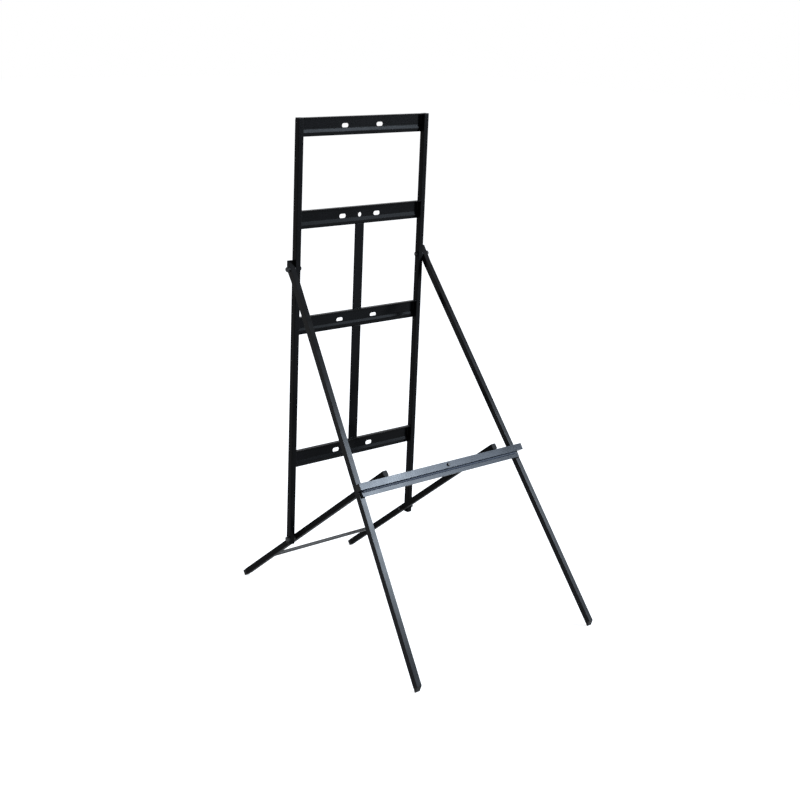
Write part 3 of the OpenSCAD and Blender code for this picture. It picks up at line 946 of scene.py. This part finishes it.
strip_low, strip_high = box_on_strut("crossbar_strip")
tube_low, _ = box_on_strut("crossbar_tube")
beads = []
for side in (1, -1):
    middle, y, z = side * WELD_MIDDLE, strip_low.y + WELD_OUT, strip_low.z - WELD_BELOW
    start, end = on_strut(middle - WELD_HALF, y, z), on_strut(middle + WELD_HALF, y, z)
    beads.append(weld_bead(start, end, BEAD, seed=50 + side))
fill_top = on_strut(strip_high.x + FILL_X[0], strip_low.y + FILL_OUT, strip_low.z + FILL_ABOVE)
fill_end = on_strut(strip_high.x + FILL_X[1], strip_low.y + FILL_OUT, strip_low.z - FILL_BELOW)
beads.append(weld_bead(fill_top, fill_end, FILL_RADIUS, seed=40))
welded("crossbar_welds", beads, satin_paint, "strut_frame")

# The seam bead's bluish coat is painted sheen.
y, z = strip_high.y + SEAM_OUT, tube_low.z - SEAM_BELOW
seam = weld_bead(on_strut(-SEAM_HALF, y, z), on_strut(SEAM_HALF, y, z), SEAM_RADIUS, seed=60)
welded("crossbar_seam", [seam], seam_sheen_paint, "strut_frame")

# %% [markdown]
# ## Welds of the tie rod
# The round rod meets the foot bars square on, so each of its ends has a ring of weld. A circle is spun
# round the rod's axis and swelled a little at each step of the torch.

# %% Tie rod welds
RING_RADIUS, RING_BEAD, RING_INSET = 8.6 * MM, 2.4 * MM, 1.0 * MM
low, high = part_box("foot_tie_rod")
rod_middle = (low + high) / 2
rings = [
    weld_ring((x, rod_middle.y, rod_middle.z), RING_RADIUS, RING_BEAD)
    for x in (low.x + RING_INSET, high.x - RING_INSET)
]
welded("tie_rod_welds", rings, satin_paint, "foot_frame")

# %% [markdown]
# ## Floor
# The photograph is cut out on white. The floor therefore glows white for the camera and in reflections, and
# under that glow it is a plain pale surface that keeps the stand's shadow. Light Path tells the shader which
# kind of ray is asking.

# %% Studio floor
FLOOR_SIZE = 30.0
FLOOR_GREY = (0.85, 0.85, 0.85, 1.0)
WHITE = (1.0, 1.0, 1.0, 1.0)
FLOOR_GLOW = 0.72

floor_bm = bmesh.new()
bmesh.ops.create_grid(floor_bm, x_segments=1, y_segments=1, size=FLOOR_SIZE)
floor_mesh = bpy.data.meshes.new("studio_floor")
floor_bm.to_mesh(floor_mesh)
floor_bm.free()
floor = show(bpy.data.objects.new("studio_floor", floor_mesh))


def add_seen_ray(tree):
    path = add_node(tree, "ShaderNodeLightPath").outputs
    seen = add_math(tree, "MAXIMUM", path["Is Camera Ray"], path["Is Glossy Ray"])
    return add_math(tree, "MAXIMUM", seen, path["Is Transmission Ray"])


pale_floor = bpy.data.materials.new("pale_floor")
pale_floor.use_nodes = True
tree = pale_floor.node_tree
tree.nodes.clear()
shade = add_node(tree, "ShaderNodeBsdfDiffuse", {"Color": FLOOR_GREY})
white = add_node(tree, "ShaderNodeEmission", {"Color": WHITE})
join(tree, add_math(tree, "MULTIPLY", add_seen_ray(tree), FLOOR_GLOW), white.inputs["Strength"])
both = add_node(tree, "ShaderNodeAddShader")
join(tree, shade.outputs[0], both.inputs[0])
join(tree, white.outputs[0], both.inputs[1])
join(tree, both.outputs[0], add_node(tree, "ShaderNodeOutputMaterial").inputs["Surface"])
floor_mesh.materials.append(pale_floor)
print("Floor half side in metres:", FLOOR_SIZE)

# %% [markdown]
# ## World
# The world does two jobs. To the camera and in reflections it is the white backdrop, and to everything else
# it is a dim, slightly cool room, so that the lamps and not the backdrop shape the light on the paint.

# %% World
ROOM_COLOUR, ROOM_LIGHT = (0.95, 0.97, 1.0, 1.0), 0.35

world = bpy.data.worlds.new("studio_world")
bpy.context.scene.world = world
world.use_nodes = True
tree = world.node_tree
tree.nodes.clear()
room = add_node(tree, "ShaderNodeBackground", {"Color": ROOM_COLOUR, "Strength": ROOM_LIGHT})
backdrop = add_node(tree, "ShaderNodeBackground", {"Color": WHITE, "Strength": 1.0})
blend = add_node(tree, "ShaderNodeMixShader")
join(tree, add_seen_ray(tree), blend.inputs[0])
join(tree, room.outputs[0], blend.inputs[1])
join(tree, backdrop.outputs[0], blend.inputs[2])
join(tree, blend.outputs[0], add_node(tree, "ShaderNodeOutputWorld").inputs["Surface"])
print("Room light:", ROOM_LIGHT)

# %% [markdown]
# ## Lamps
# Black gloss shows lamps and little else, so each soft panel stands where some face mirrors it towards the
# camera. The high panel is mirrored by the rear faces of the struts and the crossbar and gives their pale
# sheen. The low panel draws the line along the rails' beads, the side panel lengthens the sheen along the
# struts, and the front panel keeps the outer sides of the tubes from going fully black.

# %% Soft panels
COOL = (0.74, 0.86, 1.0)
PLAIN = (0.97, 0.98, 1.0)
MIDDLE = Vector((0.0, 0.0, 1.0))


def soft_light(name, place, size, energy, colour):
    data = bpy.data.lights.new(name, "AREA")
    data.shape = "RECTANGLE"
    data.size, data.size_y = size
    data.energy = energy
    data.color = colour
    lamp = show(bpy.data.objects.new(name, data))
    lamp.location = place
    lamp.rotation_euler = (MIDDLE - Vector(place)).to_track_quat("-Z", "Y").to_euler()
    print(name, "watts:", energy)


soft_light("high_panel", (-7.11, 7.04, 6.55), (1.35, 1.75), 980.0, COOL)
soft_light("low_panel", (-6.86, 7.28, 2.9), (2.0, 2.8), 240.0, COOL)
soft_light("side_panel", (-7.96, 6.20, 5.25), (1.0, 1.5), 125.0, COOL)
soft_light("front_panel", (5.6, -8.2, 4.6), (3.0, 3.0), 230.0, PLAIN)
bpy.context.scene.view_settings.view_transform = "Standard"
